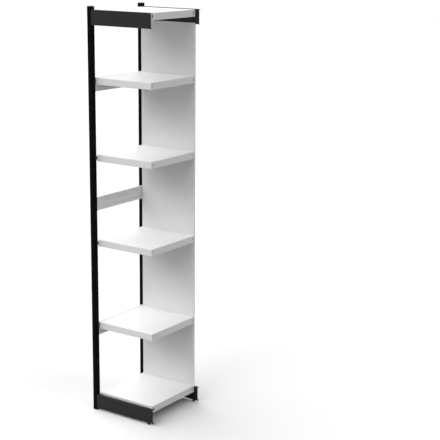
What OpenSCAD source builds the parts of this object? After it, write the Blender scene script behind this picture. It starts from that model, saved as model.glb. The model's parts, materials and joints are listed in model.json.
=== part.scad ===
// Corner steel shelving unit: one slotted side frame, open C beams front and
// back that end free at the right, six folded shelves and a folded back panel.
// Millimetres. X runs from the side frame to the free ends, Y to the back.

/* [Side frame] */
// Overall width, from the frame's outer face to the free ends of the beams
unit_w = 358; // [310:1:460]
// Overall depth of the side frame
frame_d = 385; // [340:1:480]
// Overall height, which sets how many rows of slots an upright has
unit_h = 1900; // [1750:10:2300]
// Pitch of the slot rows
slot_pitch = 50; // [46:1:54]
// Height of the lowest slot's centre above the floor
first_slot_z = 22; // [21:0.5:26]
// Least height of the unit above the highest slot's centre
upright_head = 28; // [27:1:60]
// Width of an upright, across the unit
post_w = 23; // [18:1:28]
// Depth of an upright, front to back
post_d = 25; // [24:1:28]
// Sheet thickness of an upright
post_t = 1.5; // [1:0.1:2]
// Return lip at each edge of an upright's open outer side
post_lip = 5; // [3:0.5:8]
// Width of a slot
slot_w = 4; // [3.5:0.1:5]
// Height of a slot
slot_h = 14; // [13:0.5:18]
// Distance of the beam slots from the frame's nearest face
beam_column = 7; // [6:0.5:8]
// Distance of the shelf slots from the frame's nearest face
shelf_column = 18; // [16:0.5:20]

/* [Braces] */
// Slot rows whose height the tops of the three braces follow
brace_rows = [8, 20, 31];
// Height of a brace
brace_h = 63; // [56:1:80]
// Depth of a brace's flanges
brace_flange = 12; // [9:0.5:14]
// Return lip of a brace
brace_lip = 5; // [3:0.5:8]
// Sheet thickness of a brace
brace_t = 1.2; // [1:0.1:1.5]
// Depth of the pressed groove along a brace
groove_depth = 3; // [2:0.5:4]
// Height of the pressed groove
groove_h = 18; // [14:1:22]
// Spacing of the two screws, and of the two side holes, at each end of a brace
brace_screw_pitch = 16; // [12:1:17]
// Diameter of the side holes near a brace's ends
brace_hole_d = 5; // [3:0.5:6]
// Distance of the side holes from the brace's end
brace_hole_inset = 12; // [8:1:30]
// Distance of the higher side hole below the brace's top
brace_hole_drop = 11; // [8:0.5:12]

/* [Beams] */
// Height of a beam
beam_h = 68; // [67:1:72]
// Depth of a beam's flanges
beam_flange = 14; // [13:0.5:16]
// Sheet thickness of a beam
beam_t = 1.5; // [1.2:0.1:2]
// Height of the bottom beams above the floor
beam_clear_z = 9; // [8:0.5:10]
// How far the rear beams' webs stand in front of the rear upright
rear_web_ahead = 6; // [2:0.5:10]
// Distance of a beam foot from the beam's free end
foot_inset = 28; // [12:0.5:32]
// Diameter of the hole for a foot's stem
foot_hole_d = 6.4; // [5.5:0.1:8]
// Diameter of the wall fixing holes
wall_hole_d = 7; // [5:0.5:9]
// Spacing of the wall fixing holes
wall_hole_pitch = 220; // [160:1:240]

/* [Shelves] */
// Slot rows that the six shelves hang from, the lowest first
shelf_rows = [1, 8, 16, 24, 31, 37];
// Height of a shelf's top above the centre of its slot
shelf_rise = 11; // [10:0.5:14]
// Height of a shelf's folded edge
shelf_h = 32; // [28:1:40]
// Sheet thickness of a shelf
shelf_t = 1.2; // [0.8:0.1:1.5]
// Return lip under a shelf's edge
shelf_lip = 12; // [9:0.5:18]
// Upturned hem of the return lip
shelf_hem = 6; // [4:0.5:9]
// How far the beams' free ends stand out past the shelves
shelf_short = 21; // [10:0.5:24]
// Distance of a hanging hole from the shelf's nearest end
hang_hole_y = 12.5; // [8:0.5:14]
// Width of a hanging hole
hang_hole_w = 8; // [5.5:0.5:9]
// Height of a hanging hole
hang_hole_h = 12; // [8:0.5:13]
// Distance of the panel slots below a shelf's top
panel_slot_drop = 16; // [15.5:0.5:17.5]
// Width of the stiffener under a shelf
stiffener_w = 50; // [40:1:80]
// Depth of the stiffener
stiffener_h = 15; // [10:1:20]

/* [Back panel] */
// Depth of the angles behind the panel's ends, with the panel's sheet
panel_d = 14; // [12:0.5:15]
// Depth of the returns along the panel's sides
panel_return = 5; // [3:0.5:12]
// How far the panel's top laps over the front of the top rear beam
panel_lap = 6; // [3:0.5:12]
// Sheet thickness of the panel
panel_t = 1; // [0.8:0.1:1.5]
// Height of the leg by which each angle is welded to the panel
panel_leg = 10.5; // [9:0.5:12]
// Distance of the panel screws from the panel's nearest side
panel_screw_inset = 50; // [30:1:90]

/* [Small parts] */
// Thickness of clips, ledges and hooks
clip_t = 1.5; // [1.2:0.1:1.8]
// Width of the hooks across their slot
hook_w = 2; // [1.5:0.1:3]
// Width of a front beam's ledge and of a panel hook's plate
ledge_w = 28; // [24:1:36]
// Reach of a front beam's ledge under the shelf
ledge_reach = 16; // [12:1:30]
// Length of the ledge's leg on the beam's web
ledge_leg = 28; // [20:1:30]
// Distance of the ledges and panel hooks from the shelves' free ends
ledge_inset = 8; // [6:1:14]
// Distance of a panel hook from the nearest side of its plate
hook_inset = 6; // [5:0.5:8]
// Thickness of the flange on caps and feet
cap_t = 3; // [2:0.5:5]
// Depth of a cap's plug in its upright
cap_plug = 10; // [6:1:12]
// Depth of a foot's plug in its upright
foot_plug = 6; // [4:0.5:7]
// Diameter of a beam foot
glide_d = 14; // [12:0.5:15]
// Shank diameter of the screws
screw_d = 4; // [3:0.5:4]
// Clearance between pieces that pass or face each other
fit = 0.5; // [0.3:0.1:0.8]

/* [Hidden] */

post_color = "#1b1b1d";
shelf_color = "#f3f3f1";
plastic_color = "#101011";
steel_color = "#b9bcc0";

// Heights
function row_z(row) = first_slot_z + row * slot_pitch;
last_row = floor((unit_h - upright_head - first_slot_z) / slot_pitch);
post_z0 = cap_t;
post_z1 = unit_h - cap_t;
shelf_row_list = [for (i = [0:5]) i == 5 ? last_row : shelf_rows[i]];
shelf_tops = [for (row = shelf_row_list) row_z(row) + shelf_rise];
brace_tops = [for (row = brace_rows) row_z(row) + shelf_rise];
hook_rows_low = [0, 1];
hook_rows_high = [last_row - 1, last_row];
beam_low_z = beam_clear_z;
lock_low_z = (row_z(0) + row_z(1)) / 2;
lock_high_z = (row_z(last_row - 1) + row_z(last_row)) / 2;
// A top beam's hooks sit as far below its middle as a bottom beam's sit above
// its own, so that both stand clear of the uprights' ends.
beam_high_z = lock_high_z - (beam_h - (lock_low_z - beam_low_z));

// Plan positions
rear_y = frame_d - post_d;
rear_web_y = rear_y - rear_web_ahead;
shelf_x0 = post_w + clip_t + fit;
shelf_x1 = unit_w - shelf_short;
shelf_y0 = max(beam_flange, post_d) + fit;
panel_y = rear_web_y - panel_t;
shelf_y1 = panel_y - fit;
panel_x0 = post_w + clip_t + 2 * fit;
panel_x1 = shelf_x1;
panel_z0 = beam_low_z + beam_h;
panel_z1 = beam_high_z + panel_lap;
angle_z1 = beam_high_z - fit;
rear_beam_column = frame_d - beam_column;
rear_shelf_column = frame_d - shelf_column;
foot_x = unit_w - foot_inset;
flange_mid = beam_flange / 2;

// Folding
bend_steps = 3;
inner_bend = 0.8;
screw_head_h = 2.2;
screw_head_d = 2 * screw_d;
hook_gap = 0.3;
hook_drop = 4;
hook_neck = 8;
hook_seat = slot_h / 2;
strip_w = 9;
clip_over = 4;
clip_top = 9;
clip_low = 24;
tab_h = 6;
tab_w = hang_hole_w - 1;
ledge_x = shelf_x1 - ledge_w - ledge_inset;
panel_hook_x = [ledge_x + hook_inset, ledge_x + ledge_w - hook_inset];
panel_hook_low = 9;
panel_hook_high = 5;
stiffener_foot = 10;
stiffener_slope = 3;
corner_gap = 0.6;
rim_over = 1;
stem_d = foot_hole_d - 0.4;
panel_screw_x = [panel_x0 + panel_screw_inset, panel_x1 - panel_screw_inset];
panel_screw_y = rear_web_y + panel_d / 2;

function unit(v) = v / norm(v);
function right(v) = [v[1], -v[0]];
function turned(v, a) = [v[0] * cos(a) - v[1] * sin(a), v[0] * sin(a) + v[1] * cos(a)];

// The points of one bend of outer radius r at corner i of path p.
function bend(p, r, i) = i == 0 || i == len(p) - 1 ? [p[i]] :
    let (u = unit(p[i] - p[i - 1]), v = unit(p[i + 1] - p[i]),
        turn = atan2(cross(u, v), u * v),
        start = p[i] - u * r * tan(abs(turn) / 2),
        centre = start - right(u) * r * sign(turn))
    [for (k = [0:bend_steps]) centre + turned(start - centre, turn * k / bend_steps)];
function bent(p, r) = [for (i = [0:len(p) - 1]) each bend(p, r, i)];

// The point of the sheet's other face opposite corner i of path p.
function opposite(p, t, i) =
    let (a = right(unit(i > 0 ? p[i] - p[i - 1] : p[1] - p[0])),
        b = i < len(p) - 1 ? right(unit(p[i + 1] - p[i])) : a)
    p[i] + (a + b) * t / (1 + a * b);

// The section of a sheet t thick, folded along path p, on the path's right.
module folded(p, t, rounded = true) {
    q = rounded ? bent(p, t + inner_bend) : p;
    polygon(concat(q, [for (i = [len(q) - 1:-1:0]) opposite(q, t, i)]));
}

// Lays a section of (Y, Z) along X, or a section of (X, Z) along Y.
module along_x(x0, x1) {
    translate([x0, 0, 0]) rotate([90, 0, 90]) linear_extrude(x1 - x0) children();
}
module along_y(y0, y1) {
    translate([0, y1, 0]) rotate([90, 0, 0]) linear_extrude(y1 - y0) children();
}
module box(a, b) {
    translate(a) cube(b - a);
}
module place() {
    translate([-unit_w / 2, -frame_d / 2, 0]) children();
}

// Section of a hook, seated in a slot centred at the origin: it passes a wall
// that starts at X = 0, drops behind it and rests on the slot's lower edge.
// Its neck starts a distance lead in front of the wall.
module hook_section(wall, lead) {
    back = wall + hook_gap;
    tip = back + clip_t + hook_gap;
    polygon([[-lead, hook_neck - hook_seat], [tip, hook_neck - hook_seat],
        [tip, -hook_seat - hook_drop + 1], [tip - 1, -hook_seat - hook_drop],
        [back, -hook_seat - hook_drop], [back, -hook_seat], [-lead, -hook_seat]]);
}
// A hook through an upright's inner wall, at height z and depth y.
module post_hook(y, z) {
    translate([post_w, 0, z]) mirror([1, 0, 0])
        along_y(y - hook_w / 2, y + hook_w / 2) hook_section(post_t, clip_t / 2);
}

// Uprights
module post_section() {
    difference() {
        rounded_square(post_w, post_d, post_t + inner_bend);
        translate([post_t, post_t])
            rounded_square(post_w - 2 * post_t, post_d - 2 * post_t, inner_bend);
        translate([-1, post_lip]) square([post_t + 2, post_d - 2 * post_lip]);
    }
}
module rounded_square(w, d, r) {
    translate([r, 0]) square([w - 2 * r, d]);
    translate([0, r]) square([w, d - 2 * r]);
    for (x = [r, w - r], y = [r, d - r]) translate([x, y]) circle(r, $fn = 24);
}
// y0 is the upright's front face; columns and screw_face are unit depths.
module post(y0, columns, lock_column, screw_face) {
    color(post_color) difference() {
        translate([0, y0, post_z0]) linear_extrude(post_z1 - post_z0) post_section();
        for (row = [0:last_row], y = columns)
            box([post_w - post_t - 1, y - slot_w / 2, row_z(row) - slot_h / 2],
                [post_w + 1, y + slot_w / 2, row_z(row) + slot_h / 2]);
        for (z = [lock_low_z, lock_high_z])
            translate([post_w - post_t - 1, lock_column, z]) rotate([0, 90, 0])
                cylinder(h = post_t + 2, d = screw_d + 0.4, $fn = 24);
        for (top = brace_tops, z = brace_screw_rows(top))
            translate([brace_screw_x, screw_face - 1, z])
                rotate([-90, 0, 0]) cylinder(h = post_t + 2, d = screw_d + 0.4, $fn = 24);
    }
}
module front_post() {
    place() post(0, [beam_column, shelf_column], beam_column, post_d - post_t);
}
module rear_post() {
    place() post(rear_y, [rear_beam_column, rear_shelf_column], rear_beam_column, rear_y);
}
module plug(z0, z1) {
    translate([0, 0, z0]) linear_extrude(z1 - z0)
        translate([post_t + fit, post_t + fit])
            rounded_square(post_w - 2 * post_t - 2 * fit, post_d - 2 * post_t - 2 * fit, inner_bend);
}
module post_caps() {
    place() color(plastic_color) for (y = [0, rear_y]) translate([0, y, 0]) {
        translate([0, 0, post_z1]) linear_extrude(cap_t)
            rounded_square(post_w, post_d, post_t + inner_bend);
        plug(post_z1 - cap_plug, post_z1);
    }
}
module post_feet() {
    place() color(plastic_color) for (y = [0, rear_y]) translate([0, y, 0]) {
        linear_extrude(cap_t) rounded_square(post_w, post_d, post_t + inner_bend);
        plug(post_z0, post_z0 + foot_plug);
    }
}

// Braces between the uprights, their faces flush with the uprights' inner sides
brace_screw_x = post_w - brace_flange / 2 - brace_t;
brace_y0 = post_d;
brace_y1 = rear_y;
function groove_top(z0) = z0 + brace_h / 3 + groove_h / 2;
// The tab at each end of a brace stands between its groove and its top flange.
function tab_rows(top) = [groove_top(top - brace_h) + 1, top - brace_t - 1];
function brace_screw_rows(top) = let (mid = (tab_rows(top)[0] + tab_rows(top)[1]) / 2)
    [mid - brace_screw_pitch / 2, mid + brace_screw_pitch / 2];
module brace_section(z0) {
    z1 = z0 + brace_h;
    back = post_w - brace_flange;
    groove_z1 = groove_top(z0);
    groove_z0 = groove_z1 - groove_h;
    inner = post_w - groove_depth;
    slope = groove_h / 3;
    folded([[back, z1 - brace_lip], [back, z1], [post_w, z1], [post_w, groove_z1],
        [inner, groove_z1 - slope], [inner, groove_z0 + slope], [post_w, groove_z0],
        [post_w, z0], [back, z0], [back, z0 + brace_lip]], brace_t);
}
module brace(top) {
    color(shelf_color) difference() {
        union() {
            along_y(brace_y0, brace_y1) brace_section(top - brace_h);
            for (y = [brace_y0, brace_y1 - brace_t])
                box([post_w - brace_flange + brace_t + fit, y, tab_rows(top)[0]],
                    [post_w - brace_t / 2, y + brace_t, tab_rows(top)[1]]);
        }
        for (y = [brace_y0 - 1, brace_y1 - brace_t - 1], z = brace_screw_rows(top))
            translate([brace_screw_x, y, z])
                rotate([-90, 0, 0]) cylinder(h = brace_t + 2, d = screw_d + 0.4, $fn = 24);
        for (y = [brace_y0 + brace_hole_inset, brace_y1 - brace_hole_inset],
            z = [top - brace_hole_drop, top - brace_hole_drop - brace_screw_pitch])
            translate([post_w - brace_t - 1, y, z])
                rotate([0, 90, 0]) cylinder(h = brace_t + 2, d = brace_hole_d, $fn = 24);
    }
}
module lower_brace() {
    place() brace(brace_tops[0]);
}
module middle_brace() {
    place() brace(brace_tops[1]);
}
module upper_brace() {
    place() brace(brace_tops[2]);
}
// A pan head screw: its head sits on the plane Z = 0, its shank runs down.
module screw(shank) {
    cylinder(h = screw_head_h * 0.6, d = screw_head_d, $fn = 32);
    translate([0, 0, screw_head_h * 0.6])
        cylinder(h = screw_head_h * 0.4, d1 = screw_head_d, d2 = screw_head_d * 0.6, $fn = 32);
    translate([0, 0, -shank]) cylinder(h = shank, d = screw_d, $fn = 24);
}
module brace_screws() {
    reach = brace_t + post_t + 4;
    place() color(steel_color) for (top = brace_tops, z = brace_screw_rows(top)) {
        translate([brace_screw_x, brace_y0 + brace_t, z]) rotate([-90, 0, 0]) screw(reach);
        translate([brace_screw_x, brace_y1 - brace_t, z]) rotate([90, 0, 0]) screw(reach);
    }
}

// Beams: open C channels, hooked and locked to an upright at their left end
module beam_section(y0, z0) {
    translate([y0, z0]) folded([[beam_flange, 0], [0, 0], [0, beam_h], [beam_flange, beam_h]], beam_t);
}
// The hole for a foot's stem, in the lower flange of a bottom beam.
module foot_hole(y0) {
    translate([foot_x, y0 + flange_mid, beam_low_z - 1])
        cylinder(h = beam_t + 2, d = foot_hole_d, $fn = 32);
}
// The welded strip at a beam's left end, with a hook at each of its slot rows.
module end_strip(y0, y1, column, z0, rows) {
    lock_z = (row_z(rows[0]) + row_z(rows[1])) / 2;
    difference() {
        box([post_w, y0, z0 + beam_t / 2], [post_w + clip_t, y1, z0 + beam_h - beam_t / 2]);
        translate([post_w - 1, column, lock_z]) rotate([0, 90, 0])
            cylinder(h = clip_t + 2, d = screw_d + 0.4, $fn = 24);
    }
    for (row = rows) post_hook(column, row_z(row));
}
// A folded ledge, its top at shelf_under and its leg on the beam's web.
module web_ledge(shelf_under) {
    along_x(ledge_x, ledge_x + ledge_w)
        folded([[beam_t, shelf_under - ledge_leg], [beam_t, shelf_under],
            [shelf_y0 + ledge_reach, shelf_under]], clip_t);
}
module front_beam(z0, rows, shelf_under) {
    color(post_color) difference() {
        union() {
            along_x(post_w, unit_w) beam_section(0, z0);
            end_strip(beam_t / 2, beam_t / 2 + strip_w, beam_column, z0, rows);
            web_ledge(shelf_under);
        }
        foot_hole(0);
    }
}
// panel_z is the lower face of the flange that the panel is screwed to.
module rear_beam(z0, rows, shelf_under, panel_z, wall_holes) {
    strip_y1 = rear_beam_column + clip_over;
    plate_z1 = shelf_under + shelf_h - clip_low - fit;
    color(post_color) difference() {
        union() {
            difference() {
                along_x(post_w, unit_w) beam_section(rear_web_y, z0);
                box([post_w - 1, rear_web_y - 1, plate_z1],
                    [shelf_x0, rear_web_y + beam_flange + 1, z0 + beam_h - beam_t]);
            }
            box([post_w, rear_web_y + beam_t / 2, z0 + beam_t / 2],
                [post_w + clip_t, strip_y1 - strip_w + fit, plate_z1]);
            end_strip(strip_y1 - strip_w, strip_y1, rear_beam_column, z0, rows);
        }
        foot_hole(rear_web_y);
        panel_holes(panel_z, beam_t);
        panel_slots(shelf_under + shelf_h, rear_web_y, rear_web_y + beam_t);
        if (wall_holes)
            for (side = [-1, 1])
                translate([unit_w / 2 + side * wall_hole_pitch / 2, rear_web_y - 1,
                    shelf_under + shelf_h / 2])
                    rotate([-90, 0, 0]) cylinder(h = beam_t + 2, d = wall_hole_d, $fn = 32);
    }
}
module top_front_beam() {
    place() front_beam(beam_high_z, hook_rows_high, shelf_tops[5] - shelf_h);
}
module bottom_front_beam() {
    place() front_beam(beam_low_z, hook_rows_low, shelf_tops[0] - shelf_h);
}
module top_rear_beam() {
    place() rear_beam(beam_high_z, hook_rows_high, shelf_tops[5] - shelf_h, beam_high_z, true);
}
module bottom_rear_beam() {
    place() rear_beam(beam_low_z, hook_rows_low, shelf_tops[0] - shelf_h,
        beam_low_z + beam_h - beam_t, false);
}
module beam_lock_screws() {
    place() color(steel_color)
        for (y = [beam_column, rear_beam_column], z = [lock_low_z, lock_high_z])
            translate([post_w + clip_t, y, z]) rotate([0, 90, 0])
                screw(clip_t + post_t + 4);
}
// Feet pushed up into the bottom beams' lower flanges, at their free ends
module beam_feet() {
    pad = beam_low_z * 0.6;
    place() color(plastic_color) for (y0 = [0, rear_web_y])
        translate([foot_x, y0 + flange_mid, 0]) {
            cylinder(h = pad, d = glide_d, $fn = 40);
            translate([0, 0, pad])
                cylinder(h = beam_low_z - pad, d1 = glide_d, d2 = glide_d * 0.7, $fn = 40);
            cylinder(h = beam_low_z + beam_t + 6, d = stem_d, $fn = 24);
        }
}

// Shelves: a sheet folded down on four sides, with return lips and hems
module shelf_rim_section(full) {
    lip = [[shelf_lip, shelf_hem - shelf_h], [shelf_lip, -shelf_h]];
    skirt = [[0, -shelf_h], [0, 0], [shelf_t + inner_bend + rim_over, 0]];
    folded(full ? concat(lip, skirt) : skirt, shelf_t);
}
// The long edges run from end to end and the short ones stop inside them.
module shelf_edges() {
    skirt_in = shelf_t + corner_gap;
    lip_in = shelf_lip + corner_gap;
    for (side = [0, 1]) {
        translate([0, side == 0 ? shelf_y0 : shelf_y1, 0]) mirror([0, side, 0])
            along_x(shelf_x0, shelf_x1) shelf_rim_section(true);
        translate([side == 0 ? shelf_x0 : shelf_x1, 0, 0]) mirror([side, 0, 0]) {
            along_y(shelf_y0 + skirt_in, shelf_y1 - skirt_in) shelf_rim_section(false);
            along_y(shelf_y0 + lip_in, shelf_y1 - lip_in) shelf_rim_section(true);
        }
    }
}
module shelf(top) {
    bend_r = shelf_t + inner_bend;
    color(shelf_color) translate([0, 0, top]) difference() {
        union() {
            box([shelf_x0 + bend_r, shelf_y0 + bend_r, -shelf_t],
                [shelf_x1 - bend_r, shelf_y1 - bend_r, 0]);
            shelf_edges();
        }
        for (x = [shelf_x0 - 1, shelf_x1 - shelf_t - 1], y = [shelf_y0 + hang_hole_y, shelf_y1 - hang_hole_y])
            box([x, y - hang_hole_w / 2, -clip_top - hang_hole_h],
                [x + shelf_t + 2, y + hang_hole_w / 2, -clip_top]);
        for (x = panel_hook_x)
            box([x - slot_w / 2, shelf_y1 - shelf_t - 1, -panel_slot_drop - hook_seat - hook_drop - 1],
                [x + slot_w / 2, shelf_y1 + 1, -panel_slot_drop - hook_seat + hook_neck]);
    }
}
module shelf_1() {
    place() shelf(shelf_tops[0]);
}
module shelf_2() {
    place() shelf(shelf_tops[1]);
}
module shelf_3() {
    place() shelf(shelf_tops[2]);
}
module shelf_4() {
    place() shelf(shelf_tops[3]);
}
module shelf_5() {
    place() shelf(shelf_tops[4]);
}
module shelf_6() {
    place() shelf(shelf_tops[5]);
}
// Hat sections welded under the shelves
module shelf_stiffeners() {
    half = stiffener_w / 2;
    foot = half - stiffener_foot;
    crest = foot - stiffener_slope;
    place() color(shelf_color) for (top = shelf_tops)
        translate([0, (shelf_y0 + shelf_y1) / 2, top - shelf_t])
            along_x(shelf_x0 + shelf_t + fit, shelf_x1 - shelf_t - fit)
                folded([[-half, 0], [-foot, 0], [-crest, -stiffener_h],
                    [crest, -stiffener_h], [foot, 0], [half, 0]], shelf_t, rounded = false);
}

// Clips: a plate on the upright's inner side, hooked into its shelf slot, with
// a tab through the shelf's hanging hole
module shelf_clip(column, hole_y, top) {
    y0 = min(column, hole_y) - clip_over;
    y1 = max(column, hole_y) + clip_over;
    box([post_w, y0, top - clip_low], [post_w + clip_t, y1, top - clip_top]);
    post_hook(column, top - shelf_rise);
    box([post_w + clip_t / 2, hole_y - tab_w / 2, top - clip_top - tab_h],
        [shelf_x0 + shelf_t + clip_t, hole_y + tab_w / 2, top - clip_top]);
}
module front_shelf_clips() {
    place() color(steel_color) for (top = shelf_tops)
        shelf_clip(shelf_column, shelf_y0 + hang_hole_y, top);
}
module rear_shelf_clips() {
    place() color(steel_color) for (top = shelf_tops)
        shelf_clip(rear_shelf_column, shelf_y1 - hang_hole_y, top);
}

// Panel hooks: a plate inside each shelf's rear skirt, with two hooks through
// the skirt into the panel or into a rear beam
module panel_slots(top, y0, y1) {
    for (x = panel_hook_x)
        box([x - slot_w / 2, y0 - 1, top - panel_slot_drop - slot_h / 2],
            [x + slot_w / 2, y1 + 1, top - panel_slot_drop + slot_h / 2]);
}
module panel_hook(z, wall_y, wall) {
    plate_y = shelf_y1 - shelf_t;
    box([ledge_x, plate_y - clip_t, z - panel_hook_low],
        [ledge_x + ledge_w, plate_y, z + panel_hook_high]);
    for (x = panel_hook_x)
        translate([0, wall_y, z]) along_x(x - hook_w / 2, x + hook_w / 2)
            hook_section(wall, wall_y - plate_y + clip_t / 2);
}
module panel_hooks() {
    place() color(steel_color) for (i = [0:5])
        if (i == 0 || i == 5) panel_hook(shelf_tops[i] - panel_slot_drop, rear_web_y, beam_t);
        else panel_hook(shelf_tops[i] - panel_slot_drop, panel_y, panel_t);
}

// Back panel: a sheet with folded side returns, and an angle welded behind each
// of its ends, screwed between the rear beams
module panel_side_section() {
    folded([[panel_t + inner_bend + rim_over, 0], [0, 0], [0, panel_return]], panel_t);
}
module panel_angle_section() {
    folded([[panel_t, -panel_leg], [panel_t, 0], [panel_d, 0]], panel_t);
}
module panel_holes(z, t) {
    for (x = panel_screw_x)
        translate([x, panel_screw_y, z - 1]) cylinder(h = t + 2, d = screw_d + 0.4, $fn = 24);
}
module back_panel() {
    bend_r = panel_t + inner_bend;
    side_z0 = panel_z0 + fit;
    place() color(shelf_color) difference() {
        translate([0, panel_y, 0]) {
            box([panel_x0 + bend_r, 0, panel_z0], [panel_x1 - bend_r, panel_t, panel_z1]);
            for (side = [0, 1])
                translate([side == 0 ? panel_x0 : panel_x1, 0, 0]) mirror([side, 0, 0]) {
                    translate([0, 0, side_z0]) linear_extrude(angle_z1 - side_z0)
                        panel_side_section();
                    box([0, 0, panel_z0], [bend_r + rim_over, panel_t, side_z0]);
                    box([0, 0, angle_z1], [bend_r + rim_over, panel_t, panel_z1]);
                }
        }
        for (i = [1:4]) panel_slots(shelf_tops[i], panel_y, panel_y + panel_t);
    }
}
module panel_angles() {
    place() color(shelf_color) difference() {
        translate([0, panel_y, 0]) for (high = [0, 1])
            translate([0, 0, high == 1 ? angle_z1 : panel_z0]) mirror([0, 0, 1 - high])
                along_x(panel_x0 + panel_return + fit, panel_x1 - panel_return - fit)
                    panel_angle_section();
        panel_holes(panel_z0, panel_t);
        panel_holes(angle_z1 - panel_t, panel_t);
    }
}
module panel_screws() {
    reach = beam_t + panel_t + fit + 4;
    place() color(steel_color) for (x = panel_screw_x) {
        translate([x, panel_screw_y, beam_high_z + beam_t]) screw(reach);
        translate([x, panel_screw_y, panel_z0 + panel_t]) screw(reach);
    }
}

front_post();
rear_post();
post_caps();
post_feet();
lower_brace();
middle_brace();
upper_brace();
brace_screws();
top_front_beam();
bottom_front_beam();
top_rear_beam();
bottom_rear_beam();
beam_lock_screws();
beam_feet();
shelf_1();
shelf_2();
shelf_3();
shelf_4();
shelf_5();
shelf_6();
shelf_stiffeners();
front_shelf_clips();
rear_shelf_clips();
panel_hooks();
back_panel();
panel_angles();
panel_screws();
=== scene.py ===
import json
import math

import bmesh
import bpy
from mathutils import Matrix, Vector


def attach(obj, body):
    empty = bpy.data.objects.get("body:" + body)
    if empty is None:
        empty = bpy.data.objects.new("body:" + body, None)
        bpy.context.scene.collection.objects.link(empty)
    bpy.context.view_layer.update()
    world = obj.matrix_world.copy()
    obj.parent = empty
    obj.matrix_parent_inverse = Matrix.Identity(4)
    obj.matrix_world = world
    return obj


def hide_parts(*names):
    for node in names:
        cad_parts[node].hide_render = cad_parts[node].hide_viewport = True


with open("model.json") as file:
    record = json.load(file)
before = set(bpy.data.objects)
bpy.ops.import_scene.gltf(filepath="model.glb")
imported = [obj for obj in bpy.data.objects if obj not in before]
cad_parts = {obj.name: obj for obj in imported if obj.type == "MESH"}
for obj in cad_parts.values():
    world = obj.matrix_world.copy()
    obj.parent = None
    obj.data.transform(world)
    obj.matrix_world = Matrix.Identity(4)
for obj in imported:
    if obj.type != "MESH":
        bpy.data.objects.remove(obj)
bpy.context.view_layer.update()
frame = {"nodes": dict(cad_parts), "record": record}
print("frame loaded,", len(frame["nodes"]), "nodes")

# the photograph's viewpoint, worked out from the unit's straight edges
viewpoint = {
    "place": (3.3977, -4.3302, 2.2252),
    "forward": (-0.55202, 0.80112, -0.23125),
    "right": (0.82228, 0.56903, 0.00841),
    "lens": 99.29,
    "sensor": 36.0,
    "nearest": 0.05,
    "farthest": 100.0,
}


def addCamera(s):
    forward = Vector(s["forward"]).normalized()
    right = (Vector(s["right"]) - forward * forward.dot(Vector(s["right"]))).normalized()
    up = right.cross(forward)
    data = bpy.data.cameras.new("shelfCamera")
    data.lens = s["lens"]
    data.sensor_width = s["sensor"]
    data.clip_start = s["nearest"]
    data.clip_end = s["farthest"]
    camera = bpy.data.objects.new("shelfCamera", data)
    turn = Matrix((right, up, -forward)).transposed().to_4x4()
    camera.matrix_world = Matrix.Translation(s["place"]) @ turn
    bpy.context.scene.collection.objects.link(camera)
    bpy.context.scene.camera = camera


addCamera(viewpoint)
bpy.context.scene.view_settings.view_transform = "Standard"
print("camera placed")


# node helpers
def newNode(tree, kind, **values):
    node = tree.nodes.new(kind)
    for name, value in values.items():
        setattr(node, name, value)
    return node


def mathNode(tree, operation, first, second):
    node = newNode(tree, "ShaderNodeMath", operation=operation)
    for socket, value in zip(node.inputs, (first, second)):
        if isinstance(value, (int, float)):
            socket.default_value = value
        else:
            tree.links.new(value, socket)
    return node.outputs[0]


def noiseNode(tree, place, size, **values):
    noise = newNode(tree, "ShaderNodeTexNoise")
    tree.links.new(place, noise.inputs["Vector"])
    tree.links.new(size, noise.inputs["Scale"])
    for label, value in values.items():
        noise.inputs[label].default_value = value
    return noise.outputs["Fac"]


def tintNode(tree, share, shade, light):
    tint = newNode(tree, "ShaderNodeMix", data_type="RGBA")
    tint.inputs[6].default_value = (*shade, 1)
    tint.inputs[7].default_value = (*light, 1)
    tree.links.new(share, tint.inputs["Factor"])
    return tint.outputs[2]


def newGroup(name, inputs, outputs):
    tree = bpy.data.node_groups.new(name, "ShaderNodeTree")
    for label, value in inputs.items():
        socket = tree.interface.new_socket(label, in_out="INPUT", socket_type="NodeSocketFloat")
        socket.default_value = value
    for label in outputs:
        tree.interface.new_socket(label, in_out="OUTPUT", socket_type="NodeSocketFloat")
    start = newNode(tree, "NodeGroupInput")
    end = newNode(tree, "NodeGroupOutput")
    return tree, start, end


def placeGroup(tree, group, values):
    node = newNode(tree, "ShaderNodeGroup", node_tree=group)
    for label, value in values.items():
        node.inputs[label].default_value = value
    return node


# sprayed powder melts into a fine orange peel, with a slow unevenness under it
def powderPeelGroup():
    inputs = {"Peel size": 650.0, "Patch size": 9.0}
    tree, start, end = newGroup("powderPeel", inputs, ("Height", "Patches"))
    place = newNode(tree, "ShaderNodeTexCoord").outputs["Object"]
    peel = noiseNode(tree, place, start.outputs["Peel size"], Detail=2.0, Roughness=0.45)
    patches = noiseNode(tree, place, start.outputs["Patch size"], Detail=3.0)
    tree.links.new(peel, end.inputs["Height"])
    tree.links.new(patches, end.inputs["Patches"])
    return tree


# hands, boxes and packing polish a coat a little, in faint stretched patches
rubMarks = {"stretch": (1.0, 1.0, 0.35), "edge": 6.0}


def handlingRubsGroup(s):
    tree, start, end = newGroup("handlingRubs", {"Rub size": 6.0, "Cover": 0.5}, ("Rubbed",))
    stretch = newNode(tree, "ShaderNodeMapping")
    stretch.inputs["Scale"].default_value = s["stretch"]
    place = newNode(tree, "ShaderNodeTexCoord").outputs["Object"]
    tree.links.new(place, stretch.inputs["Vector"])
    size = start.outputs["Rub size"]
    marks = noiseNode(
        tree, stretch.outputs["Vector"], size, Detail=5.0, Roughness=0.6, Distortion=0.4
    )
    rubbed = mathNode(tree, "SUBTRACT", marks, start.outputs["Cover"])
    rubbed = mathNode(tree, "MULTIPLY", rubbed, s["edge"])
    rubbed = mathNode(tree, "MAXIMUM", rubbed, 0.0)
    tree.links.new(mathNode(tree, "MINIMUM", rubbed, 1.0), end.inputs["Rubbed"])
    return tree


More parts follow.
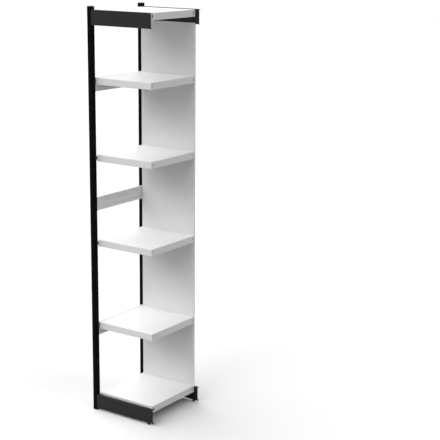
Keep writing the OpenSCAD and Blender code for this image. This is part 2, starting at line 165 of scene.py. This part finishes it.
powderPeel = powderPeelGroup()
handlingRubs = handlingRubsGroup(rubMarks)


def startMaterial(name):
    material = bpy.data.materials.new(name)
    material.use_nodes = True
    tree = material.node_tree
    return material, tree, tree.nodes["Principled BSDF"]


def addGrain(tree, shader, height, strength, depth):
    bump = newNode(tree, "ShaderNodeBump")
    bump.inputs["Strength"].default_value = strength
    bump.inputs["Distance"].default_value = depth
    tree.links.new(height, bump.inputs["Height"])
    tree.links.new(bump.outputs["Normal"], shader.inputs["Normal"])


# a powder coat: its colour drifts a little from patch to patch
def powderCoat(name, s):
    material, tree, shader = startMaterial(name)
    peelInputs = {"Peel size": s["peelSize"], "Patch size": s["patchSize"]}
    peel = placeGroup(tree, powderPeel, peelInputs)
    tint = tintNode(tree, peel.outputs["Patches"], s["shade"], s["light"])
    tree.links.new(tint, shader.inputs["Base Color"])
    shader.inputs["Specular IOR Level"].default_value = s["specular"]
    low, high = s["roughness"]
    matt = mathNode(tree, "MULTIPLY", peel.outputs["Patches"], high - low)
    matt = mathNode(tree, "ADD", matt, low)
    rubs = placeGroup(tree, handlingRubs, {"Rub size": s["rubSize"], "Cover": s["rubCover"]})
    polish = mathNode(tree, "MULTIPLY", rubs.outputs["Rubbed"], s["rubPolish"])
    tree.links.new(mathNode(tree, "SUBTRACT", matt, polish), shader.inputs["Roughness"])
    addGrain(tree, shader, peel.outputs["Height"], s["peelStrength"], s["peelDepth"])
    return material


whitePowder = {
    "shade": (0.77, 0.77, 0.765),
    "light": (0.81, 0.81, 0.805),
    "roughness": (0.38, 0.5),
    "specular": 0.35,
    "rubSize": 5.0,
    "rubCover": 0.56,
    "rubPolish": 0.05,
    "peelSize": 650.0,
    "patchSize": 9.0,
    "peelStrength": 0.35,
    "peelDepth": 0.00005,
}
beamPowder = {
    "shade": (0.006, 0.006, 0.0065),
    "light": (0.01, 0.01, 0.0106),
    "roughness": (0.44, 0.56),
    "specular": 0.25,
    "rubSize": 7.0,
    "rubCover": 0.54,
    "rubPolish": 0.1,
    "peelSize": 550.0,
    "patchSize": 14.0,
    "peelStrength": 0.4,
    "peelDepth": 0.00006,
}
uprightPowder = {  # the beams' powder, but deeper and duller
    **beamPowder,
    "shade": (0.0015, 0.0015, 0.0016),
    "light": (0.0026, 0.0026, 0.0028),
    "roughness": (0.5, 0.6),
    "specular": 0.03,
    "rubPolish": 0.08,
}
whiteCoat = powderCoat("whiteCoat", whitePowder)
uprightCoat = powderCoat("uprightCoat", uprightPowder)
beamCoat = powderCoat("beamCoat", beamPowder)

# moulded plastic: matt, with the fine spark-eroded grain of its mould
mouldedBlack = {
    "colour": (0.014, 0.014, 0.015),
    "roughness": 0.62,
    "grainSize": 1800.0,
    "grainStrength": 0.5,
    "grainDepth": 0.00004,
}


def mouldedPlastic(name, s):
    material, tree, shader = startMaterial(name)
    grain = placeGroup(tree, powderPeel, {"Peel size": s["grainSize"]})
    shader.inputs["Base Color"].default_value = (*s["colour"], 1)
    shader.inputs["Roughness"].default_value = s["roughness"]
    addGrain(tree, shader, grain.outputs["Height"], s["grainStrength"], s["grainDepth"])
    return material


capPlastic = mouldedPlastic("capPlastic", mouldedBlack)

# zinc plating: small grey crystals and a soft metal sheen
zincPlating = {
    "shade": (0.5, 0.51, 0.53),
    "light": (0.68, 0.69, 0.7),
    "roughness": (0.28, 0.45),
    "crystalSize": 900.0,
}


def zincPlate(name, s):
    material, tree, shader = startMaterial(name)
    place = newNode(tree, "ShaderNodeTexCoord").outputs["Object"]
    crystals = newNode(tree, "ShaderNodeTexVoronoi")
    crystals.inputs["Scale"].default_value = s["crystalSize"]
    tree.links.new(place, crystals.inputs["Vector"])
    tint = tintNode(tree, crystals.outputs["Distance"], s["shade"], s["light"])
    tree.links.new(tint, shader.inputs["Base Color"])
    shader.inputs["Metallic"].default_value = 1.0
    low, high = s["roughness"]
    matt = mathNode(tree, "MULTIPLY", crystals.outputs["Distance"], high - low)
    tree.links.new(mathNode(tree, "ADD", matt, low), shader.inputs["Roughness"])
    return material


zincSteel = zincPlate("zincSteel", zincPlating)

finishOfSlot = {
    "white_metal": whiteCoat,
    "black_metal": beamCoat,
    "black_plastic": capPlastic,
    "zinc_steel": zincSteel,
}
finishOfNode = {"front_post": uprightCoat, "rear_post": uprightCoat}
slotOfNode = {row["node"]: row["material_slot"] for row in frame["record"]["subparts"]}
print("finishes made")


# a finished mesh that rides on the unit; edges sharper than sharp degrees stay crisp
def bodyPart(name, work, nodes, material, sharp=None):
    bmesh.ops.recalc_face_normals(work, faces=work.faces)
    for face in work.faces:
        face.smooth = True
    mesh = bpy.data.meshes.new(name)
    work.to_mesh(mesh)
    work.free()
    mesh.materials.append(material)
    if sharp:
        mesh.set_sharp_from_angle(angle=math.radians(sharp))
    piece = bpy.data.objects.new(name, mesh)
    bpy.context.scene.collection.objects.link(piece)
    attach(piece, "root")
    if nodes:
        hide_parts(*nodes)
    return piece


# every folded or moulded piece keeps its CAD shape, with its cut edges broken
# and its bends shaded round
dressing = {
    "sheet": {"round": 0.0003, "segments": 2},
    "moulded": {"round": 0.0006, "segments": 3},
    "weld": 0.00001,
    "join": 0.000005,
    "flat": 0.2,
    "sharp": 40.0,
}


def roundEdges(piece, s, edge):
    bevel = piece.modifiers.new("brokenEdges", "BEVEL")
    bevel.width = edge["round"]
    bevel.segments = edge["segments"]
    bevel.limit_method = "ANGLE"
    bevel.angle_limit = math.radians(s["sharp"])
    bevel.harden_normals = True
    joined = piece.modifiers.new("joinedCorners", "WELD")
    joined.merge_threshold = s["join"]
    even = piece.modifiers.new("flatFaces", "WEIGHTED_NORMAL")
    even.keep_sharp = True


def pieceName(nodeName):
    first, *rest = nodeName.split("_")
    return first + "".join(word.capitalize() for word in rest)


def dressNode(nodeName, s):
    work = bmesh.new()
    work.from_mesh(frame["nodes"][nodeName].data)
    bmesh.ops.remove_doubles(work, verts=work.verts, dist=s["weld"])
    flat = math.radians(s["flat"])
    bmesh.ops.dissolve_limit(work, angle_limit=flat, verts=work.verts, edges=work.edges)
    slotName = slotOfNode[nodeName]
    material = finishOfNode.get(nodeName, finishOfSlot[slotName])
    name = pieceName(nodeName)
    piece = bodyPart(name, work, [nodeName], material, s["sharp"])
    roundEdges(piece, s, s["moulded" if slotName == "black_plastic" else "sheet"])


detailed = ("brace_screws", "beam_lock_screws", "panel_screws", "beam_feet")
for nodeName in frame["nodes"]:
    if nodeName not in detailed:
        dressNode(nodeName, dressing)
print("sheet and moulded pieces dressed")

# sizes that the small pieces share with the source of the solids, in metres from
# the floor and from the front left corner of the side frame
unitSizes = {
    "width": 0.358,
    "depth": 0.385,
    "postWidth": 0.023,
    "postDepth": 0.025,
    "sheet": 0.0015,
    "braceSheet": 0.0012,
    "braceTops": (0.433, 1.033, 1.583),
    "braceScrewDrops": (0.0091, 0.0251),
    "braceScrewX": 0.0158,
    "beamColumn": 0.007,
    "beamFlange": 0.014,
    "beamBottoms": (0.009, 1.817),
    "lockHeights": (0.047, 1.847),
    "rearWebY": 0.354,
    "ledgeSides": (0.301, 0.329),
    "footX": 0.330,
    "panelScrewX": (0.0755, 0.287),
    "panelScrewY": 0.361,
    "panelScrewSeats": (0.078, 1.8185),
    "panelBack": 0.355,
    "shelfTops": (0.083, 0.433, 0.833, 1.233, 1.583, 1.883),
}
mm = 0.001


def atCorner(x, y, z):
    return (x - unitSizes["width"] / 2, y - unitSizes["depth"] / 2, z)


def aimedAt(seat, aim):
    return Matrix.Translation(seat) @ Vector(aim).to_track_quat("Z", "Y").to_matrix().to_4x4()


def moveNewVerts(work, start, matrix):
    work.verts.ensure_lookup_table()
    bmesh.ops.transform(work, matrix=matrix, verts=work.verts[start:])


def turnsOf(sides):
    return [2 * math.pi * i / sides for i in range(sides)]


def roundRing(radius, z, sides):
    return [(radius * math.cos(a), radius * math.sin(a), z) for a in turnsOf(sides)]


# a closed surface of rings; a ring is a list of points, and the ends are capped
def skinRings(work, rings):
    rows = [[work.verts.new(point) for point in ring] for ring in rings]
    count = len(rows[0])
    for low, high in zip(rows, rows[1:]):
        for i in range(count):
            j = (i + 1) % count
            work.faces.new((low[i], low[j], high[j], high[i]))
    work.faces.new(list(reversed(rows[0])))
    work.faces.new(rows[-1])


# pan head screws with a cross recess and a rolled thread, each placed by its
# seat and the way that its head looks; shares are of the size that they soften
screwShape = {
    "headRadius": 0.004,
    "headHeight": 0.0022,
    "headSides": 48,
    "headRings": 12,
    "rimShare": 0.62,
    "middleShare": 0.02,
    "crossWidth": 0.0011,
    "crossReach": 0.0023,
    "crossDepth": 0.0013,
    "wallShare": 0.5,
    "endShare": 0.25,
    "coreShare": 0.95,
    "coreWallShare": 0.3,
    "shankRadius": 0.002,
    "threadDepth": 0.0003,
    "pitch": 0.0007,
    "threadSides": 20,
    "stepsPerPitch": 6,
    "tipLength": 0.0008,
    "tipShare": 0.45,
    "spinPerX": 70.0,
    "spinPerZ": 40.0,
    "sharp": 50.0,
}
screwReach = {"brace": 0.0067, "beamLock": 0.007, "panel": 0.007}


def clipped(value):
    return min(1.0, max(0.0, value))


def headPoint(s, radius, angle):
    share = radius / s["headRadius"]
    rim = s["rimShare"]
    dome = s["headHeight"] * (rim + (1 - rim) * math.sqrt(max(0.0, 1 - share * share)))
    x, y = radius * math.cos(angle), radius * math.sin(angle)
    half = s["crossWidth"] / 2
    inCross = clipped((half - min(abs(x), abs(y))) / (half * s["wallShare"]))
    inReach = clipped((s["crossReach"] - radius) / (s["crossReach"] * s["endShare"]))
    core = s["crossWidth"] * s["coreShare"] - radius
    inCore = clipped(core / (s["crossWidth"] * s["coreWallShare"]))
    return (x, y, dome - s["crossDepth"] * max(min(inCross, inReach), inCore))


def headRings(s):
    rings = [roundRing(s["headRadius"], 0, s["headSides"])]
    shares = [1 - k / s["headRings"] for k in range(s["headRings"])] + [s["middleShare"]]
    for share in shares:
        turns = turnsOf(s["headSides"])
        rings.append([headPoint(s, s["headRadius"] * share, a) for a in turns])
    return rings


def threadRings(s, reach):
    steps = int(reach / s["pitch"] * s["stepsPerPitch"])
    rings = []
    for k in range(steps + 1):
        z = -reach * (1 - k / steps)
        tip = s["tipShare"] + (1 - s["tipShare"]) * (z + reach) / s["tipLength"]
        ring = []
        for i, a in enumerate(turnsOf(s["threadSides"])):
            phase = (z / s["pitch"] + i / s["threadSides"]) % 1.0
            radius = s["shankRadius"] - s["threadDepth"] * abs(2 * phase - 1)
            radius *= min(1.0, tip)
            ring.append((radius * math.cos(a), radius * math.sin(a), z))
        rings.append(ring)
    return rings


def addScrewSet(name, nodeName, seats, s, reach):
    work = bmesh.new()
    for seat, aim in seats:
        start = len(work.verts)
        skinRings(work, headRings(s))
        skinRings(work, threadRings(s, reach))
        angle = seat[2] * s["spinPerZ"] + seat[0] * s["spinPerX"]
        spin = Matrix.Rotation(angle, 4, "Z")
        moveNewVerts(work, start, aimedAt(seat, aim) @ spin)
    bodyPart(name, work, [nodeName], zincSteel, s["sharp"])


def braceScrewSeats(u):
    front = u["postDepth"] + u["braceSheet"]
    rear = u["depth"] - u["postDepth"] - u["braceSheet"]
    heights = [top - drop for top in u["braceTops"] for drop in u["braceScrewDrops"]]
    walls = ((front, (0, 1, 0)), (rear, (0, -1, 0)))
    return [(atCorner(u["braceScrewX"], y, z), aim) for z in heights for y, aim in walls]


def lockScrewSeats(u):
    x = u["postWidth"] + u["sheet"]
    columns = (u["beamColumn"], u["depth"] - u["beamColumn"])
    return [(atCorner(x, y, z), (1, 0, 0)) for y in columns for z in u["lockHeights"]]


def panelScrewSeats(u):
    rows = [(x, z) for x in u["panelScrewX"] for z in u["panelScrewSeats"]]
    return [(atCorner(x, u["panelScrewY"], z), (0, 0, 1)) for x, z in rows]


screwSets = (
    ("braceScrews", "brace_screws", braceScrewSeats(unitSizes), screwReach["brace"]),
    ("beamLockScrews", "beam_lock_screws", lockScrewSeats(unitSizes), screwReach["beamLock"]),
    ("panelScrews", "panel_screws", panelScrewSeats(unitSizes), screwReach["panel"]),
)
for name, nodeName, seats, reach in screwSets:
    addScrewSet(name, nodeName, seats, screwShape, reach)
print("screws made")

# push-in feet: a fluted pad, a cone up to the flange and a barbed stem above it;
# each row is a radius, a height and whether the row is fluted, in millimetres
footShape = {
    "rows": (
        (5.6, 0.0, False),
        (6.5, 0.3, False),
        (7.0, 1.0, True),
        (7.0, 4.5, True),
        (6.7, 5.2, False),
        (5.3, 7.6, False),
        (4.9, 8.6, False),
        (4.9, 9.0, False),
        (2.9, 9.0, False),
        (2.9, 10.7, False),
        (3.0, 11.2, False),
        (2.6, 12.1, False),
        (3.0, 12.5, False),
        (2.6, 13.4, False),
        (3.0, 13.8, False),
        (2.6, 14.7, False),
        (3.0, 15.1, False),
        (2.0, 16.4, False),
    ),
    "sides": 96,
    "flutes": 24,
    "fluteDepth": 0.06,
    "sharp": 35.0,
}


def footRing(s, radius, z, fluted):
    ring = []
    for a in turnsOf(s["sides"]):
        dip = s["fluteDepth"] * (1 - math.cos(a * s["flutes"])) / 2 if fluted else 0
        reach = radius * (1 - dip) * mm
        ring.append((reach * math.cos(a), reach * math.sin(a), z * mm))
    return ring


def addFeet(s, u):
    work = bmesh.new()
    for web in (0, u["rearWebY"]):
        start = len(work.verts)
        skinRings(work, [footRing(s, *row) for row in s["rows"]])
        middle = atCorner(u["footX"], web + u["beamFlange"] / 2, 0)
        moveNewVerts(work, start, Matrix.Translation(middle))
    bodyPart("beamFeet", work, ["beam_feet"], capPlastic, s["sharp"])


addFeet(footShape, unitSizes)
print("feet made")

# weld beads with their ripples, coated over with the beams; stretches are heights
# above a beam's bottom, first for the low beam and then for the high one
beadShape = {
    "leg": 0.0018,
    "bulge": 0.86,
    "endShare": 0.35,
    "ripple": 0.0011,
    "rise": 0.16,
    "stepsPerRipple": 5,
    "arc": 6,
    "sunk": 0.0001,
    "frontStrip": (((0.006, 0.030), (0.046, 0.062)), ((0.006, 0.023), (0.037, 0.062))),
    "rearStrip": (((0.006, 0.044),), ((0.006, 0.038),)),
    "ledge": (((0.018, 0.036),), ((0.010, 0.028),)),
}


def beadRuns(s, u):
    corner = u["postWidth"] + u["sheet"]
    left, right = u["ledgeSides"]
    walls = (
        ("frontStrip", corner, u["sheet"], 1),
        ("rearStrip", corner, u["rearWebY"] + u["sheet"], 1),
        ("ledge", left, u["sheet"], -1),
        ("ledge", right, u["sheet"], 1),
    )
    for weld, x, y, side in walls:
        for bottom, stretches in zip(u["beamBottoms"], s[weld]):
            for low, high in stretches:
                yield atCorner(x, y, bottom + low), atCorner(x, y, bottom + high), side


def addBead(work, s, start, end, side):
    start, end = Vector(start), Vector(end)
    across, back = Vector((side, 0, 0)), Vector((0, 1, 0))
    length = (end - start).length
    count = int(length / s["ripple"] * s["stepsPerRipple"])
    rings = []
    for k in range(count + 1):
        along = length * k / count
        near = min(1.0, min(along, length - along) / s["leg"])
        leg = s["leg"] * (s["endShare"] + (1 - s["endShare"]) * math.sqrt(near))
        leg *= 1 - s["rise"] * (1 - abs(math.sin(math.pi * along / s["ripple"])))
        corner = start.lerp(end, k / count)
        ring = [corner - (across + back) * s["sunk"]]
        ring.append(corner + across * leg - back * s["sunk"])
        for i in range(s["arc"] + 1):
            a = math.pi / 2 * i / s["arc"]
            ring.append(corner + (across * math.cos(a) + back * math.sin(a)) * leg * s["bulge"])
        ring.append(corner + back * leg - across * s["sunk"])
        rings.append(ring)
    skinRings(work, rings)


def addBeamWelds(s, u):
    work = bmesh.new()
    for start, end, side in beadRuns(s, u):
        addBead(work, s, start, end, side)
    bodyPart("beamWelds", work, [], beamCoat)


addBeamWelds(beadShape, unitSizes)

# spot welds: a shallow ring that the electrode leaves; rows are a radius and
# how far the row stands proud, in millimetres
spotShape = {
    "rows": ((3.0, -0.05), (2.7, 0.1), (2.35, 0.22), (1.95, 0.12), (1.3, 0.05), (0.2, 0.03)),
    "sides": 24,
    "shelfColumns": (0.055, 0.105, 0.155, 0.207, 0.257, 0.307),
    "shelfRows": (0.169, 0.209),
    "underTop": 0.0024,
    "panelColumns": (0.045, 0.113, 0.181, 0.249, 0.317),
    "panelHeights": (0.0822, 1.8112),
}


def addSpotWelds(name, s, seats, aim):
    work = bmesh.new()
    for seat in seats:
        start = len(work.verts)
        skinRings(work, [roundRing(r * mm, proud * mm, s["sides"]) for r, proud in s["rows"]])
        moveNewVerts(work, start, aimedAt(atCorner(*seat), aim))
    bodyPart(name, work, [], whiteCoat)


def shelfSpotSeats(s, u):
    heights = [top - s["underTop"] for top in u["shelfTops"]]
    return [(x, y, z) for x in s["shelfColumns"] for y in s["shelfRows"] for z in heights]


def panelSpotSeats(s, u):
    return [(x, u["panelBack"], z) for x in s["panelColumns"] for z in s["panelHeights"]]


addSpotWelds("shelfSpotWelds", spotShape, shelfSpotSeats(spotShape, unitSizes), (0, 0, -1))
addSpotWelds("panelSpotWelds", spotShape, panelSpotSeats(spotShape, unitSizes), (0, 1, 0))
print("welds made")

# the floor, brighter to the camera than to the light that it throws back
floorLook = {
    "size": 40.0,
    "seen": (0.8, 0.8, 0.8),
    "bounced": (0.25, 0.25, 0.25),
    "roughness": 0.9,
}


def whiteRays(tree):
    rays = newNode(tree, "ShaderNodeLightPath")
    seen = mathNode(tree, "MAXIMUM", rays.outputs["Is Camera Ray"], rays.outputs["Is Glossy Ray"])
    return mathNode(tree, "MAXIMUM", seen, rays.outputs["Is Transmission Ray"])


def addFloor(s):
    half = s["size"] / 2
    mesh = bpy.data.meshes.new("studioFloor")
    corners = [(-half, -half, 0), (half, -half, 0), (half, half, 0), (-half, half, 0)]
    mesh.from_pydata(corners, [], [(0, 1, 2, 3)])
    floor = bpy.data.objects.new("studioFloor", mesh)
    bpy.context.scene.collection.objects.link(floor)
    material, tree, shader = startMaterial("studioFloor")
    tint = tintNode(tree, whiteRays(tree), s["bounced"], s["seen"])
    tree.links.new(tint, shader.inputs["Base Color"])
    shader.inputs["Roughness"].default_value = s["roughness"]
    shader.inputs["Specular IOR Level"].default_value = 0.0
    mesh.materials.append(material)


# soft light from wide white screens round the unit, each a broad bright patch of
# the sky, given by its direction and its level
skyLight = {
    "spread": 14.0,
    "backdrop": 1.0,
    "white": (1.0, 1.0, 1.0, 1.0),
    "screens": {
        "front": ((0.0, -1.0, 0.78), 4.0),
        "leftFront": ((-0.7, -0.7, 0.78), 1.75),
        "left": ((-1.0, 0.0, 0.78), 2.6),
        "highLeft": ((-1.0, 0.0, 1.73), 2.05),
        "right": ((1.0, 0.0, 0.78), 2.25),
        "highRight": ((1.0, 0.0, 1.73), 1.1),
        "leftBack": ((-0.7, 0.7, 0.78), 0.95),
        "lowLeftBack": ((-0.7, 0.7, 0.36), 2.65),
    },
}


def screenLevels(tree, s):
    look = newNode(tree, "ShaderNodeTexCoord").outputs["Generated"]
    total = 0.0
    for aim, level in s["screens"].values():
        facing = newNode(tree, "ShaderNodeVectorMath", operation="DOT_PRODUCT")
        tree.links.new(look, facing.inputs[0])
        facing.inputs[1].default_value = Vector(aim).normalized()
        patch = mathNode(tree, "MAXIMUM", facing.outputs["Value"], 0.0)
        patch = mathNode(tree, "POWER", patch, s["spread"])
        total = mathNode(tree, "ADD", mathNode(tree, "MULTIPLY", patch, level), total)
    return total


def addWorld(s):
    world = bpy.data.worlds.new("studioWorld")
    bpy.context.scene.world = world
    world.use_nodes = True
    tree = world.node_tree
    soft = tree.nodes["Background"]
    soft.inputs["Color"].default_value = s["white"]
    tree.links.new(screenLevels(tree, s), soft.inputs["Strength"])
    backdrop = newNode(tree, "ShaderNodeBackground")
    backdrop.inputs["Color"].default_value = s["white"]
    backdrop.inputs["Strength"].default_value = s["backdrop"]
    blend = newNode(tree, "ShaderNodeMixShader")
    tree.links.new(whiteRays(tree), blend.inputs["Fac"])
    tree.links.new(soft.outputs["Background"], blend.inputs[1])
    tree.links.new(backdrop.outputs["Background"], blend.inputs[2])
    tree.links.new(blend.outputs["Shader"], tree.nodes["World Output"].inputs["Surface"])


addFloor(floorLook)
addWorld(skyLight)
print("studio ready")
